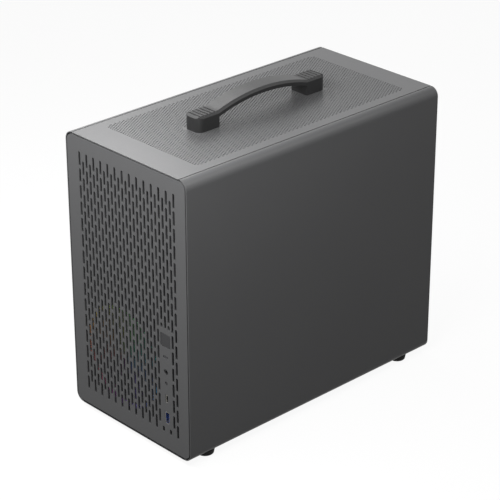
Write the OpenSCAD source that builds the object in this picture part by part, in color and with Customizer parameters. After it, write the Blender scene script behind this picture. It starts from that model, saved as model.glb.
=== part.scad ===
// Compact micro-ATX computer case with a carrying handle.
// The front faces -Y, the wide side panels face +X and -X, and the feet stand on z = 0.

/* [Outer shell] */
// Width of the case body
body_w = 186; // [182:1:196]
// Depth of the case body, front to back
body_d = 362; // [356:1:380]
// Height of the case body without feet and handle
body_h = 317; // [314:1:330]
// Radius of the four long rounded edges
edge_r = 10; // [8:0.5:11]
// Sheet thickness of the outer panels
skin_t = 1.2; // [1:0.1:1.5]
// Sheet thickness of the inner frame
frame_t = 1; // [0.8:0.1:1.2]
// Open seam between neighbouring outer panels
seam = 0.8; // [0.5:0.1:1]
// How far the rear panel sits inside the shell
rear_recess = 12; // [11:0.5:15]

/* [Front panel] */
// Depth of the front panel's folded edge
front_depth = 9; // [7:0.5:10]
// Thickness of the front face
front_t = 1.4; // [1.2:0.1:1.8]
// Space from the front face to the bulkhead
bulkhead_set = 12; // [11.5:0.5:14]
// Distance between slot columns
slot_pitch_x = 5.6; // [5.2:0.1:6]
// Distance between slot centres in one column
slot_pitch_z = 18.76; // [18:0.02:20]
// Length of one slot
slot_len = 16; // [14:0.1:16.8]
// Width of one slot
slot_w = 3.1; // [2.4:0.1:3.6]
// Plain border beside the slots
slot_side_margin = 19.5; // [17:0.5:22]
// Plain border below the slots
slot_low_margin = 20.5; // [18:0.1:24]
// Shift of the slots and controls to the right
slot_shift = 1.1; // [-2:0.1:2]
// Plain border above the slots
slot_top_margin = 17; // [16:0.5:20]

/* [Front controls] */
// Column of the slot pattern that the controls are centred on
io_col = 10; // [9:1:10]
// Lower end of the plain strip round the controls
io_low = 27.2; // [26:0.1:28]
// Upper end of the plain strip round the controls
io_high = 143.6; // [142:0.1:146]
// Side of the square power button
power_w = 14.5; // [13:0.5:15]
// Height of the power button's centre above the body's base
power_z = 130; // [128:0.5:132]
// Travel of the power button
power_travel = 1; // [0.5:0.1:1.2]
// Height of the status light above the body's base
light_z = 110.8; // [108:0.2:114]
// Width of the status light
light_w = 7; // [5:0.5:9]
// Height of the status light's bar
light_h = 2.2; // [1.8:0.1:3]
// Height of the headset jack above the body's base
jack_z = 93.4; // [92:0.2:97]
// Radius of the headset jack's nose
jack_r = 2.8; // [2.6:0.1:3.2]
// Radius of the headset jack's bore
jack_bore_r = 1.8; // [1.75:0.05:1.9]
// Height of the reset button above the body's base
reset_z = 80.2; // [79:0.1:84]
// Radius of the reset button
reset_r = 1.7; // [1.4:0.1:2.2]
// Travel of the reset button
reset_travel = 0.8; // [0.4:0.1:1]
// Height of the small oval port above the body's base
usb_c_z = 62.2; // [60:0.2:64]
// Long side of the small oval port
usb_c_h = 9; // [8.8:0.1:9.4]
// Short side of the small oval port
usb_c_w = 3.4; // [3.2:0.1:3.8]
// Height of the large port above the body's base
usb_a_z = 39.4; // [38:0.2:42]
// Long side of the large port
usb_a_h = 13.4; // [13:0.1:14]
// Short side of the large port
usb_a_w = 6; // [5.7:0.1:6.4]
// Wall of the ports' metal shells
port_wall = 0.4; // [0.3:0.05:0.5]
// Play between the controls and their holes
control_play = 0.35; // [0.3:0.05:0.5]

/* [Top panel] */
// Distance between neighbouring holes of the top
mesh_pitch = 8.5; // [8:0.25:10]
// Diameter of one hole of the top
mesh_hole = 5; // [4:0.1:5.4]
// Plain border beside the holes
mesh_side_margin = 23; // [20:0.5:30]
// Plain border in front of the holes
mesh_front_margin = 33; // [30:1:45]
// Plain border behind the holes
mesh_back_margin = 27; // [24:1:45]
// Corner radius of the field of holes
mesh_corner = 8; // [5:0.5:12]

/* [Handle] */
// Overall length of the handle
handle_l = 182; // [174:1:190]
// Width of the handle
handle_w = 23.5; // [21:0.5:26]
// Length of one leg of the handle
leg_l = 28; // [25:0.5:31]
// Height of the legs above the top
leg_h = 17.4; // [15:0.2:19]
// Height of the arch above the top
arch_h = 27.3; // [25:0.1:30]
// Thickness of the strap
strap_t = 6.2; // [5:0.1:7.5]
// Bevel along the handle's upper edges
handle_bevel = 2.4; // [1.5:0.1:3]
// Radius of the legs' outer corners
leg_corner = 7; // [5:0.5:9]
// Distance between the grip grooves
groove_pitch = 5.1; // [4.6:0.1:5.4]
// Width of a grip groove
groove_w = 1.7; // [1.2:0.1:2.2]
// Depth of a grip groove
groove_d = 1.3; // [0.8:0.1:1.8]
// Number of grip grooves on each leg
grooves = 5; // [3:1:5]
// Radius of the handle's screws
handle_screw_r = 2.2; // [2:0.1:2.5]
// Thickness of the backing plates under the top
backing_t = 1.6; // [1.2:0.1:2]

/* [Feet] */
// Height of the rubber feet
foot_h = 7; // [7:0.5:9]
// Radius of a foot where it meets the floor
foot_r = 9.4; // [8:0.2:10]
// Radius of a foot under the base
foot_top_r = 10.4; // [9:0.2:11]
// Distance of the foot centres from the body's sides
foot_side = 16; // [15:0.5:18]
// Distance of the foot centres from the body's ends
foot_end = 34; // [30:1:40]
// Radius of the screws in the feet
foot_screw_r = 2; // [1.7:0.1:2.3]

/* [Bottom filter] */
// Width of the bottom filter
filter_w = 104; // [96:1:112]
// Length of the bottom filter
filter_l = 286; // [276:1:290]
// Thickness of the bottom filter
filter_t = 2.2; // [1.8:0.1:2.4]
// Border of the bottom filter's frame
filter_rim = 5; // [4:0.5:6]
// Lip of the runners under the filter
runner_lip = 2.6; // [2:0.1:3]

/* [Side panels] */
// Height of the ball studs from the body's base and top
stud_h = 16; // [15:0.5:17]
// Distance of the front ball studs from the body's middle
stud_front = 118; // [110:1:124]
// Distance of the rear ball studs from the body's middle
stud_rear = 140; // [130:1:146]
// Radius of the studs' balls
ball_r = 2.5; // [2.2:0.1:2.8]
// Width of the side panels' rear return
panel_return = 7; // [5:0.5:7.5]

/* [Frame] */
// Distance of the rails' webs from the long flat edges
rail_set = 4; // [3.5:0.5:5]
// Height of the rails and of the base's folded edges
rail_h = 22; // [21:0.5:24]
// Width of the top rails' upper flange
rail_flange = 11; // [9:0.5:13]
// Distance from the right rail to the motherboard tray
tray_set = 5; // [4.5:0.5:6]
// Gap between the power supply bracket and the tray
tray_gap = 2; // [1:0.5:6]
// Height of the motherboard's standoffs
standoff_h = 6.5; // [6:0.1:8]
// Width of a standoff across its flats
standoff_w = 6; // [5:0.5:7]
// Radius of a standoff's threaded hole
standoff_hole_r = 1.35; // [1.2:0.05:1.6]
// Height of the lowest standoffs above the body's base
board_low = 84; // [82:1:86]
// Distance from the rear panel to the first standoffs
board_rear = 10; // [8:0.5:12]

/* [Fan] */
// Width of the fan
fan_w = 120; // [118:1:120]
// Depth of the fan
fan_d = 25; // [24:0.5:27]
// Distance of the fan from the frame's left edge
fan_side = 4; // [3.5:0.5:6]
// Height of the fan's centre above the body's base
fan_up = 73; // [72:0.5:76]
// Height of the spare fan position above the fan's
fan_step = 136; // [132:1:140]
// Distance between the fan's screw holes
fan_holes = 105; // [104:0.5:105]
// Number of fan blades
blades = 9; // [7:1:11]
// Radius of the fan's hub
hub_r = 20; // [18:0.5:22]
// Tilt of the blades
blade_tilt = 32; // [26:1:38]
// Width of the light ring
ring_w = 3.5; // [3:0.1:4]

/* [Rear] */
// Height of the port opening
shield_h = 158.75; // [158:0.25:160]
// Width of the port opening
shield_w = 44.45; // [44:0.05:45]
// Height of the port opening's lower edge above the body's base
shield_up = 131; // [130:0.5:133]
// Distance between expansion slots
slot_step = 20.32; // [20:0.02:20.6]
// Height of a slot cover
cover_h = 18.4; // [18:0.1:19]
// Length of a slot cover
cover_l = 118; // [116:0.5:119]
// Length of a slot cover's screw tab
tab_l = 10; // [9:0.5:10.5]
// Radius of the rear fan vent
vent_r = 43; // [40:0.5:44]
// Distance between the holes of the rear vent
vent_pitch = 6; // [5.5:0.1:7]
// Diameter of the holes of the rear vent
vent_hole = 4.4; // [3.6:0.1:4.8]
// Distance between the rear fan's screw holes
rear_fan_holes = 82.5; // [82:0.5:83]
// Height of the power inlet's centre above the body's base
inlet_up = 52; // [51:0.5:56]
// Distance of the power inlet's centre from the left side
inlet_side = 23; // [22.5:0.5:24]

/* [Power supply bracket] */
// Width of the bracket's rims beside the power supply's face
psu_side_rim = 14; // [13:0.5:16]
// Depth of the opening for the power supply's face
psu_d = 70; // [66:1:71]
// Drop of the bracket below the top panel
psu_drop = 12; // [11:0.5:14]

/* [Hidden] */
$fn = 48;

graphite = [0.29, 0.29, 0.3];
black = [0.06, 0.06, 0.065];
steel = [0.62, 0.63, 0.65];

// How far a cut runs past what it cuts
over = 1;

// Planes of the shell
side_x = body_w / 2;
end_y = body_d / 2;
base_z = foot_h;
top_z = base_z + body_h;
flat_x = side_x - edge_r;
plate_x = flat_x - seam;
inner_x = side_x - skin_t;
inner_low = base_z + skin_t;
inner_top = top_z - skin_t;
mid_z = base_z + body_h / 2;

// Planes of the frame
frame_x = inner_x - seam;
frame_corner = edge_r + 2;
bulk_front = -end_y + bulkhead_set;
bulk_back = bulk_front + frame_t;
rear_y = end_y - rear_recess;
rear_in = rear_y - frame_t;
rail_x = flat_x - rail_set;
rail_low = inner_top - rail_h;

// Screws
screw_play = 0.3;
small_screw_r = 1.5;
small_screw_hole = 1.6;
small_head_r = 3;
small_head_h = 1.8;

// Front pattern
face_back = -end_y + front_t;
front_x = frame_x;
front_half_h = body_h / 2 - skin_t - seam;
front_corner = edge_r - skin_t - seam;
half_cols = floor((side_x - slot_side_margin) / slot_pitch_x);
slot_rows = floor((body_h - slot_low_margin - slot_top_margin - slot_len) / slot_pitch_z) + 1;
io_x = io_col * slot_pitch_x + slot_shift;

// Control stack behind the front face
board_t = 1.6;
board_set = 3;
board_y = bulk_back + board_set;
housing_set = 0.4;
housing_front = face_back + housing_set;
housing_half = 8.6;
housing_rim = 3.6;
housing_low = base_z + io_low + housing_rim;
housing_high = base_z + io_high - housing_rim;
housing_play = 1;
bracket_play = 2;
io_fold = 10;
button_set = 0.15;
button_front = -end_y + button_set;
button_t = 8;
power_corner = 1.2;
stem_r = 2;
stem_play = 0.4;
port_set = 0.4;
port_front = -end_y + port_set;
port_l = board_y - port_front;
port_floor = 2;
round_end = 0.05;

// Fan
fan_x = fan_side + fan_w / 2 - frame_x;
fan_z = base_z + fan_up;
spare_fan_z = fan_z + fan_step;
fan_bore = fan_w / 2 - 2;
fan_screw_hole = 2.2;
fan_space = 3;
blade_tip_gap = 5.5;
blade_r = fan_bore - blade_tip_gap;
blade_t = 1.6;
shaft_r = 2.5;
shaft_play = 0.05;
shaft_l = 9;

// Studs and sockets
socket_play = 0.3;
socket_wall = 1.4;
socket_r = ball_r + socket_play + socket_wall;
socket_lip = 1.5;
socket_lip_t = 1.2;
socket_snap = 0.8;
socket_tail = 2.4;
stud_base_r = 3.6;
stud_base_t = 1.5;
stud_pin_r = 1.5;
ball_set = 1;
front_stud_in = 6.5;
front_stud_x = front_x - front_stud_in;
front_stud_z = 14;
front_cup_l = 6;
front_cup_floor = 0.6;
front_stud_l = bulk_front - face_back - front_cup_floor - socket_play - ball_r;
clip_r = 2;

// Power supply bracket
psu_plate_z = inner_top - psu_drop;
psu_rim = 9;
psu_front_gap = 4;
psu_mid_y = bulk_back + psu_front_gap + psu_d / 2 + psu_rim;
psu_back = psu_mid_y + psu_d / 2 + psu_rim;
psu_notch = 8;
psu_notch_in = 6;
psu_tab_h = 8;
psu_x = rail_x - frame_t;
psu_screw_in = 9;
psu_screw_y = 26;
psu_screw_hole = 2.1;

// Motherboard tray
tray_x = rail_x - frame_t - tray_set;
tray_front = psu_back + tray_gap;
tray_l = rear_in - tray_front;
grommet_w = 24;
grommet_h = 64;
grommet_r = 6;
grommet_wall = 2;
grommet_lip = 2.5;
grommet_lip_t = 1.2;
grommet_y = tray_front + grommet_w;
grommet_low = 84;
grommet_high = 212;
cpu_cut_w = 92;
cpu_cut_h = 108;
cpu_cut_back = 90;
cpu_cut_up = 222;
board_cols = [0, 157.48, 227.33];
board_rows = [0, 45.72, 200.66];
board_step = 22.86;

// Drive bracket
drive_l = 104;
drive_h = 80;
drive_rear = 34;
drive_up = 34;
drive_y = rear_in - drive_rear - drive_l;
drive_z = base_z + drive_up;
drive_off = 4.4;
drive_foot = 9;
drive_screw_in = 12;
drive_holes_y = 76.6;
drive_holes_z = 61.72;
drive_vent_step = 10;
drive_vent_l = 46;
drive_vent_w = 5;

// Rear layout
shield_from_board = 41.6;
shield_x = tray_x - standoff_h - board_t - shield_from_board;
slot_count = 4;
slots_gap = 7;
slots_top = base_z + shield_up - slots_gap;
slots_low = slots_top - slot_count * slot_step;
slot_open_h = 14.5;
cover_tray_gap = 1;
cover_x = tray_x - cover_tray_gap - cover_l;
cover_play = 0.4;
ledge_x = cover_x + frame_t;
slot_open_x = ledge_x + frame_t + cover_tray_gap;
slot_open_l = cover_l - 8;
tab_screw_r = 1.7;
tab_hole_r = 1.9;
cover_slots = 9;
cover_slot_step = 12;
cover_slot_l = 7;
cover_slot_h = 4;
vent_side = 57;
vent_up = 99;
vent_x = shield_x - vent_side;
vent_z = base_z + shield_up + vent_up;

// Mains inlet
inlet_x = -side_x + inlet_side;
inlet_z = base_z + inlet_up;
inlet_half_w = 10;
inlet_half_h = 14;
inlet_wall = 2;
inlet_lip = 4;
inlet_corner = 2;
inlet_play = 0.3;
inlet_flange_t = 2.4;
inlet_depth = 22;
inlet_well = 15;
inlet_screw_up = 20;
inlet_ear_r = 5;
inlet_screw_hole = 1.7;
pin_w = 4;
pin_t = 2;
pin_l = 12;
pin_side = 2.5;
pin_step = 7;

// Bottom filter
filter_gap = 0.35;
filter_top = base_z - filter_gap;
filter_tab_w = 28;
filter_tab_l = 8;
runner_wall = 3;
runner_foot = 0.8;
runner_low = filter_top - filter_t - filter_gap - runner_foot;
bottom_cols = 6;
bottom_rows = 18;

// Base vents
base_vent_pitch = 8;
base_vent_w = 4;
base_vent_l = 22;
base_vent_step = 27;
base_vent_half_cols = 5;
base_vent_half_rows = 4;

// Feet
foot_cup_r = 4.6;
foot_seat = 3;
foot_chamfer = 0.8;
foot_rim = 1;
foot_head_play = 0.5;
foot_head_h = 2;

// Handle
leg_mid = handle_l / 2 - leg_l / 2;
arch_half = handle_l / 2 - leg_l + 1;
arch_rise = arch_h - leg_h;
arch_r = (arch_half * arch_half + arch_rise * arch_rise) / (2 * arch_rise);
strap_angle = asin(arch_half / arch_r) + 1.5;
groove_start = 2.8;
screw_reach = 9;
handle_hole_l = screw_reach + 0.5;
handle_head_r = 4.4;
handle_head_h = 2.6;
plate_rim = 7;
plate_corner = 3;

// A rounded rectangle about the origin
module rounded(w, h, r) {
  square([w, h - 2 * r], center = true);
  square([w - 2 * r, h], center = true);
  for (x = [-1, 1], y = [-1, 1])
    translate([x * (w / 2 - r), y * (h / 2 - r)]) circle(r);
}

// A flat sheet across the case: drawn in x and z, standing from y0 backwards
module across(y0, t) {
  translate([0, y0 + t, 0]) rotate([90, 0, 0]) linear_extrude(t) children();
}

// A flat sheet along the case: drawn in y and z, standing from x0 to the right
module along(x0, t) {
  translate([x0, 0, 0]) rotate([90, 0, 90]) linear_extrude(t) children();
}

// A level sheet: drawn in x and y, standing from z0 upwards
module level(z0, t) {
  translate([0, 0, z0]) linear_extrude(t) children();
}

// A round piece on an axis along y, from y0 backwards
module round_y(y0, l, r) {
  translate([0, y0, 0]) rotate([-90, 0, 0]) cylinder(h = l, r = r);
}

// An upright slot with round ends
module upright_slot(x, low, high, w) {
  if (high - low > w) {
    translate([x, low + w / 2]) circle(d = w, $fn = 24);
    translate([x, high - w / 2]) circle(d = w, $fn = 24);
    translate([x - w / 2, low + w / 2]) square([w, high - low - w]);
  }
}

// The closed outline of the shell's sheet, seen from the front
module shell_ring() {
  translate([0, mid_z]) difference() {
    rounded(body_w, body_h, edge_r);
    rounded(body_w - 2 * skin_t, body_h - 2 * skin_t, edge_r - skin_t);
  }
}

// One bent side panel with a return along its rear edge
module side_panel() {
  color(graphite) {
    across(-end_y, body_d) intersection() {
      shell_ring();
      translate([flat_x, base_z - over]) square([edge_r + over, body_h + 2 * over]);
    }
    across(end_y - skin_t, skin_t)
      translate([side_x - panel_return, base_z + edge_r])
        square([panel_return - skin_t / 2, body_h - 2 * edge_r]);
  }
}

module right_panel() side_panel();

module left_panel() mirror([1, 0, 0]) side_panel();

function in_round_field(x, y, hx, hy, r) =
  let (cx = max(abs(x) - (hx - r), 0), cy = max(abs(y) - (hy - r), 0)) cx * cx + cy * cy <= r * r;

mesh_row = mesh_pitch * sin(60);
mesh_half_x = side_x - mesh_side_margin;
mesh_half_y = (body_d - mesh_front_margin - mesh_back_margin) / 2;
mesh_mid_y = (mesh_front_margin - mesh_back_margin) / 2;

// The staggered round holes of the top, left out under the handle's legs
module top_holes() {
  for (j = [-floor(mesh_half_y / mesh_row):floor(mesh_half_y / mesh_row)])
    for (i = [-floor(mesh_half_x / mesh_pitch) - 1:floor(mesh_half_x / mesh_pitch)]) {
      x = (i + (j % 2 == 0 ? 0 : 0.5)) * mesh_pitch;
      y = mesh_mid_y + j * mesh_row;
      under_leg = abs(x) < handle_w / 2 - 1 && abs(abs(y) - leg_mid) < leg_l / 2 - 1;
      if (in_round_field(x, y - mesh_mid_y, mesh_half_x, mesh_half_y, mesh_corner) && !under_leg)
        translate([x, y]) circle(d = mesh_hole, $fn = 16);
    }
}

// Where the handle's screws go through the top
module handle_screw_spots() {
  for (s = [-1, 1], x = [-1, 1]) translate([x * handle_w / 4, s * leg_mid]) children();
}

module top_panel() {
  color(graphite) level(inner_top, skin_t) difference() {
    square([2 * plate_x, body_d], center = true);
    top_holes();
    handle_screw_spots() circle(handle_screw_r + screw_play);
  }
}

// Where the feet are screwed on
module foot_spots() {
  for (x = [-1, 1], y = [-1, 1])
    translate([x * (side_x - foot_side), y * (end_y - foot_end)]) children();
}

// The base with its rows of vents and a folded edge inside each side panel
module base_plate() {
  fold_front = bulk_back + fan_d + fan_space;
  color(graphite) {
    level(base_z, skin_t) difference() {
      square([2 * plate_x, body_d], center = true);
      for (i = [-base_vent_half_cols:base_vent_half_cols], j = [-base_vent_half_rows:base_vent_half_rows])
        translate([i * base_vent_pitch, j * base_vent_step - base_vent_l / 2])
          upright_slot(0, 0, base_vent_l, base_vent_w);
      foot_spots() circle(foot_screw_r + screw_play);
    }
    for (s = [0, 1]) mirror([s, 0, 0])
      along(rail_x - frame_t, frame_t) difference() {
        translate([fold_front, inner_low]) square([rear_in - fold_front, rail_h]);
        for (y = [-stud_front, stud_rear])
          translate([y, base_z + stud_h]) circle(socket_r);
      }
  }
}

// The staggered upright slots, cut off above and below the controls' strip
module front_slots() {
  for (i = [-half_cols:half_cols]) {
    odd = abs(i + half_cols) % 2;
    for (k = [0:slot_rows - 1 - odd]) {
      low = base_z + slot_low_margin + (k + odd / 2) * slot_pitch_z;
      high = low + slot_len;
      x = i * slot_pitch_x + slot_shift;
      if (abs(i - io_col) > 1) upright_slot(x, low, high, slot_w);
      else {
        upright_slot(x, low, min(high, base_z + io_low), slot_w);
        upright_slot(x, max(low, base_z + io_high), high, slot_w);
      }
    }
  }
}

// The mouth of the small oval port, grown by the play round it
module oval_port(play) {
  rounded(usb_c_w + 2 * play, usb_c_h + 2 * play, usb_c_w / 2 + play - round_end);
}

// The outlines of the controls, grown by the play round them
module control_holes(play) {
  translate([io_x, base_z + power_z])
    rounded(power_w + 2 * play, power_w + 2 * play, power_corner + play);
  translate([io_x, base_z + light_z]) square([light_w + 2 * play, light_h + 2 * play], center = true);
  translate([io_x, base_z + jack_z]) circle(jack_r + play);
  translate([io_x, base_z + reset_z]) circle(reset_r + play);
  translate([io_x, base_z + usb_c_z]) oval_port(play);
  translate([io_x, base_z + usb_a_z]) square([usb_a_w + 2 * play, usb_a_h + 2 * play], center = true);
}

// The pierced face with a rim folded back all round
module front_panel() {
  color(graphite) {
    across(-end_y, front_t) difference() {
      translate([0, mid_z]) rounded(2 * front_x, 2 * front_half_h, front_corner);
      front_slots();
      control_holes(control_play);
    }
    across(face_back, front_depth - front_t) translate([0, mid_z]) difference() {
      rounded(2 * front_x, 2 * front_half_h, front_corner);
      rounded(2 * (front_x - skin_t), 2 * (front_half_h - skin_t), front_corner - skin_t);
    }
  }
}

// The four places where the front panel snaps on, drawn in x and z
module front_stud_marks() {
  for (x = [-1, 1], z = [base_z + front_stud_z, top_z - front_stud_z])
    translate([x * front_stud_x, z]) children();
}

// The same four places for solid pieces whose z runs back from y0
module front_stud_spots(y0) {
  translate([0, y0, 0]) rotate([90, 0, 0]) front_stud_marks() rotate([180, 0, 0]) children();
}

// A ball stud along z: its base on 0 and its ball's centre at l
module ball_stud(l) {
  cylinder(h = stud_base_t, r = stud_base_r);
  cylinder(h = l, r = stud_pin_r);
  translate([0, 0, l]) sphere(ball_r);
}

module front_studs() {
  color(steel) front_stud_spots(face_back) ball_stud(front_stud_l);
}

// A ring that holds a side panel's ball stud, snapped into a hole of a rail
module socket() {
  rotate_extrude() {
    polygon([
      [ball_r + socket_play, -socket_lip_t], [socket_r + socket_lip, -socket_lip_t],
      [socket_r + socket_lip, 0], [socket_r, 0], [socket_r, frame_t],
      [socket_r + socket_snap, frame_t + socket_snap], [socket_r, frame_t + socket_tail],
      [ball_r + socket_play, frame_t + socket_tail]
    ]);
  }
}

// Blind cups in front of the bulkhead, each with a clip through it
module front_sockets() {
  color(black) front_stud_spots(bulk_front - front_cup_l) {
    difference() {
      cylinder(h = front_cup_l, r = socket_r);
      translate([0, 0, -over])
        cylinder(h = front_cup_l + over - front_cup_floor, r = ball_r + socket_play);
    }
    translate([0, 0, front_cup_l - front_cup_floor]) cylinder(h = front_cup_floor + frame_t, r = clip_r);
  }
}

filter_cols = 7;
filter_rows = 16;
filter_bar = 1.6;
front_filter_t = 1;
front_filter_rim = 4;
front_filter_past = 6;
front_filter_right = io_x - housing_half - bracket_play;
front_filter_left = -half_cols * slot_pitch_x + slot_shift - front_filter_past;
front_filter_low = base_z + slot_low_margin - front_filter_past;
front_filter_high = top_z - slot_top_margin + front_filter_rim;

// A grid of bars between two corners
module grid(x0, x1, z0, z1, nx, nz, bar) {
  px = (x1 - x0 + bar) / nx;
  pz = (z1 - z0 + bar) / nz;
  for (i = [0:nx - 1], k = [0:nz - 1])
    translate([x0 + i * px, z0 + k * pz]) square([px - bar, pz - bar]);
}

// The fine dust mesh behind the face, on its frame, cut short beside the controls
module front_filter() {
  color(black) across(face_back, front_filter_t) difference() {
    translate([front_filter_left, front_filter_low])
      square([front_filter_right - front_filter_left, front_filter_high - front_filter_low]);
    grid(front_filter_left + front_filter_rim, front_filter_right - front_filter_rim,
      front_filter_low + front_filter_rim, front_filter_high - front_filter_rim,
      filter_cols, filter_rows, filter_bar);
  }
}

// The outline shared by the bulkhead and the rear panel
module frame_outline() {
  translate([0, mid_z]) rounded(2 * frame_x, body_h - 2 * skin_t, frame_corner);
}

// The four screw holes of a fan about its centre
module fan_hole_spots(cx, cz, step) {
  for (x = [-1, 1], z = [-1, 1]) translate([cx + x * step / 2, cz + z * step / 2]) children();
}

module front_bulkhead() {
  color(graphite) across(bulk_front, frame_t) difference() {
    frame_outline();
    for (z = [fan_z, spare_fan_z]) {
      translate([fan_x, z]) circle(fan_bore);
      fan_hole_spots(fan_x, z, fan_holes) circle(fan_screw_hole);
    }
    translate([io_x - housing_half - housing_play, housing_low - housing_play])
      square([2 * (housing_half + housing_play), housing_high - housing_low + 2 * housing_play]);
    front_stud_marks() circle(clip_r);
  }
}

// A folded rail that carries the top and a side panel's upper sockets
module top_rail() {
  color(graphite) {
    along(rail_x - frame_t, frame_t) difference() {
      translate([bulk_back, rail_low]) square([rear_in - bulk_back, rail_h]);
      for (y = [-stud_front, stud_rear]) translate([y, top_z - stud_h]) circle(socket_r);
    }
    translate([rail_x - rail_flange, bulk_back, inner_top - frame_t])
      cube([rail_flange - frame_t / 2, rear_in - bulk_back, frame_t]);
  }
}

module top_rail_right() top_rail();

module top_rail_left() mirror([1, 0, 0]) top_rail();

// Places of the four ball studs on one side
module side_stud_spots() {
  for (y = [-stud_front, stud_rear], z = [base_z + stud_h, top_z - stud_h])
    translate([0, y, z]) children();
}

// A side panel's ball studs, which point inwards from its inner face
module side_studs() {
  color(steel) side_stud_spots() translate([inner_x, 0, 0]) rotate([0, -90, 0])
    ball_stud(inner_x - rail_x + ball_set);
}

module right_studs() side_studs();

module left_studs() mirror([1, 0, 0]) side_studs();

module side_sockets() {
  color(black) for (s = [0, 1]) mirror([s, 0, 0])
    side_stud_spots() translate([rail_x, 0, 0]) rotate([0, -90, 0]) socket();
}

// Places of the cable openings in the tray
module grommet_spots() {
  for (z = [grommet_low, grommet_high]) translate([grommet_y, base_z + z]) children();
}

// Places of the standoffs in y and z, on the board's own hole pattern
module board_spots() {
  for (c = board_cols, r = board_rows) {
    lowered = r == board_rows[2] && c > 0 ? board_step : 0;
    translate([rear_in - board_rear - c, base_z + board_low + r - lowered]) children();
  }
}

module board_tray() {
  color(graphite) along(tray_x, frame_t) difference() {
    translate([tray_front, inner_low]) square([tray_l, body_h - 2 * skin_t - frame_t]);
    grommet_spots() rounded(grommet_w, grommet_h, grommet_r);
    translate([rear_in - cpu_cut_back, base_z + cpu_cut_up]) rounded(cpu_cut_w, cpu_cut_h, grommet_r);
    board_spots() circle(small_screw_hole);
    drive_screw_spots() circle(small_screw_hole);
  }
}

module standoffs() {
  color([0.78, 0.62, 0.3]) along(tray_x - standoff_h, standoff_h) board_spots() difference() {
    circle(d = standoff_w / cos(30), $fn = 6);
    circle(standoff_hole_r);
  }
}

// Rubber linings that grip the tray between two lips
module tray_grommets() {
  color(black) grommet_spots_lined(tray_x, frame_t, 0);
  color(black) for (x = [tray_x - grommet_lip_t, tray_x + frame_t])
    grommet_spots_lined(x, grommet_lip_t, grommet_lip);
}

// One layer of the linings, grown outwards by its lip
module grommet_spots_lined(x0, t, lip) {
  along(x0, t) grommet_spots() difference() {
    rounded(grommet_w + 2 * lip, grommet_h + 2 * lip, grommet_r + lip);
    rounded(grommet_w - 2 * grommet_wall, grommet_h - 2 * grommet_wall, grommet_r - grommet_wall);
  }
}

// The open plate under the top that the power supply is screwed to, notched round the sockets
module psu_bracket() {
  psu_front = psu_mid_y - psu_d / 2 - psu_rim;
  color(graphite) {
    level(psu_plate_z - frame_t, frame_t) difference() {
      translate([-psu_x, psu_front]) square([2 * psu_x, psu_back - psu_front]);
      for (x = [-1, 1]) translate([x * psu_x, -stud_front])
        square([2 * psu_notch_in, 2 * psu_notch], center = true);
      translate([0, psu_mid_y]) square([2 * (psu_x - psu_side_rim), psu_d], center = true);
      for (x = [-1, 1]) translate([x * (psu_x - psu_screw_in), psu_mid_y + psu_screw_y])
        circle(psu_screw_hole);
    }
    for (x = [-psu_x, psu_x - frame_t]) translate([x, 0, psu_plate_z - frame_t / 2]) {
      translate([0, psu_front, 0])
        cube([frame_t, -stud_front - psu_notch - psu_front, psu_tab_h + frame_t / 2]);
      translate([0, psu_notch - stud_front, 0])
        cube([frame_t, psu_back - psu_notch + stud_front, psu_tab_h + frame_t / 2]);
    }
  }
}

// Screws that hold the drive bracket's feet to the tray
module drive_screw_spots() {
  for (y = [drive_y - drive_foot / 2, drive_y + drive_l + drive_foot / 2])
    for (z = [drive_z + drive_screw_in, drive_z + drive_h - drive_screw_in])
      translate([y, z]) children();
}

// A raised plate on two feet, with the hole pattern of a flat drive
module drive_bracket() {
  foot_x = tray_x + frame_t;
  color(graphite) {
    along(foot_x, frame_t) difference() {
      for (y = [drive_y - drive_foot, drive_y + drive_l])
        translate([y, drive_z]) square([drive_foot, drive_h]);
      drive_screw_spots() circle(small_screw_hole);
    }
    for (y = [drive_y - frame_t, drive_y + drive_l])
      translate([foot_x, y, drive_z]) cube([drive_off, frame_t, drive_h]);
    along(foot_x + drive_off - frame_t, frame_t) difference() {
      translate([drive_y - frame_t, drive_z]) square([drive_l + 2 * frame_t, drive_h]);
      translate([drive_y + drive_l / 2, drive_z + drive_h / 2]) {
        for (y = [-1, 1], z = [-1, 1])
          translate([y * drive_holes_y / 2, z * drive_holes_z / 2]) circle(small_screw_hole);
        for (k = [-2:2]) translate([0, k * drive_vent_step])
          square([drive_vent_l, drive_vent_w], center = true);
      }
    }
  }
}

// A pan-head screw along z: the head on 0, the shank down below it
module pan_screw(shank_r, shank_l, head_r, head_h) {
  difference() {
    rotate_extrude() polygon([
      [0, 0], [0, head_h], [head_r * 0.7, head_h], [head_r, head_h * 0.4], [head_r, 0]
    ]);
    translate([0, 0, head_h]) for (a = [0, 90])
      rotate(a) cube([head_r * 1.1, head_r / 6, head_h], center = true);
  }
  translate([0, 0, -shank_l]) cylinder(h = shank_l, r = shank_r);
}

// Screws of the drive bracket's feet
module bracket_screws() {
  color(steel) rotate([90, 0, 90]) translate([0, 0, tray_x + 2 * frame_t])
    drive_screw_spots() pan_screw(small_screw_r, 2 * frame_t + 1, small_head_r, small_head_h);
}

// The height of expansion slot n's middle, counted from the top
function slot_z(n) = slots_top - (n + 0.5) * slot_step;

module cover_spot(n) {
  translate([0, 0, slot_z(n)]) children();
}

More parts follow.
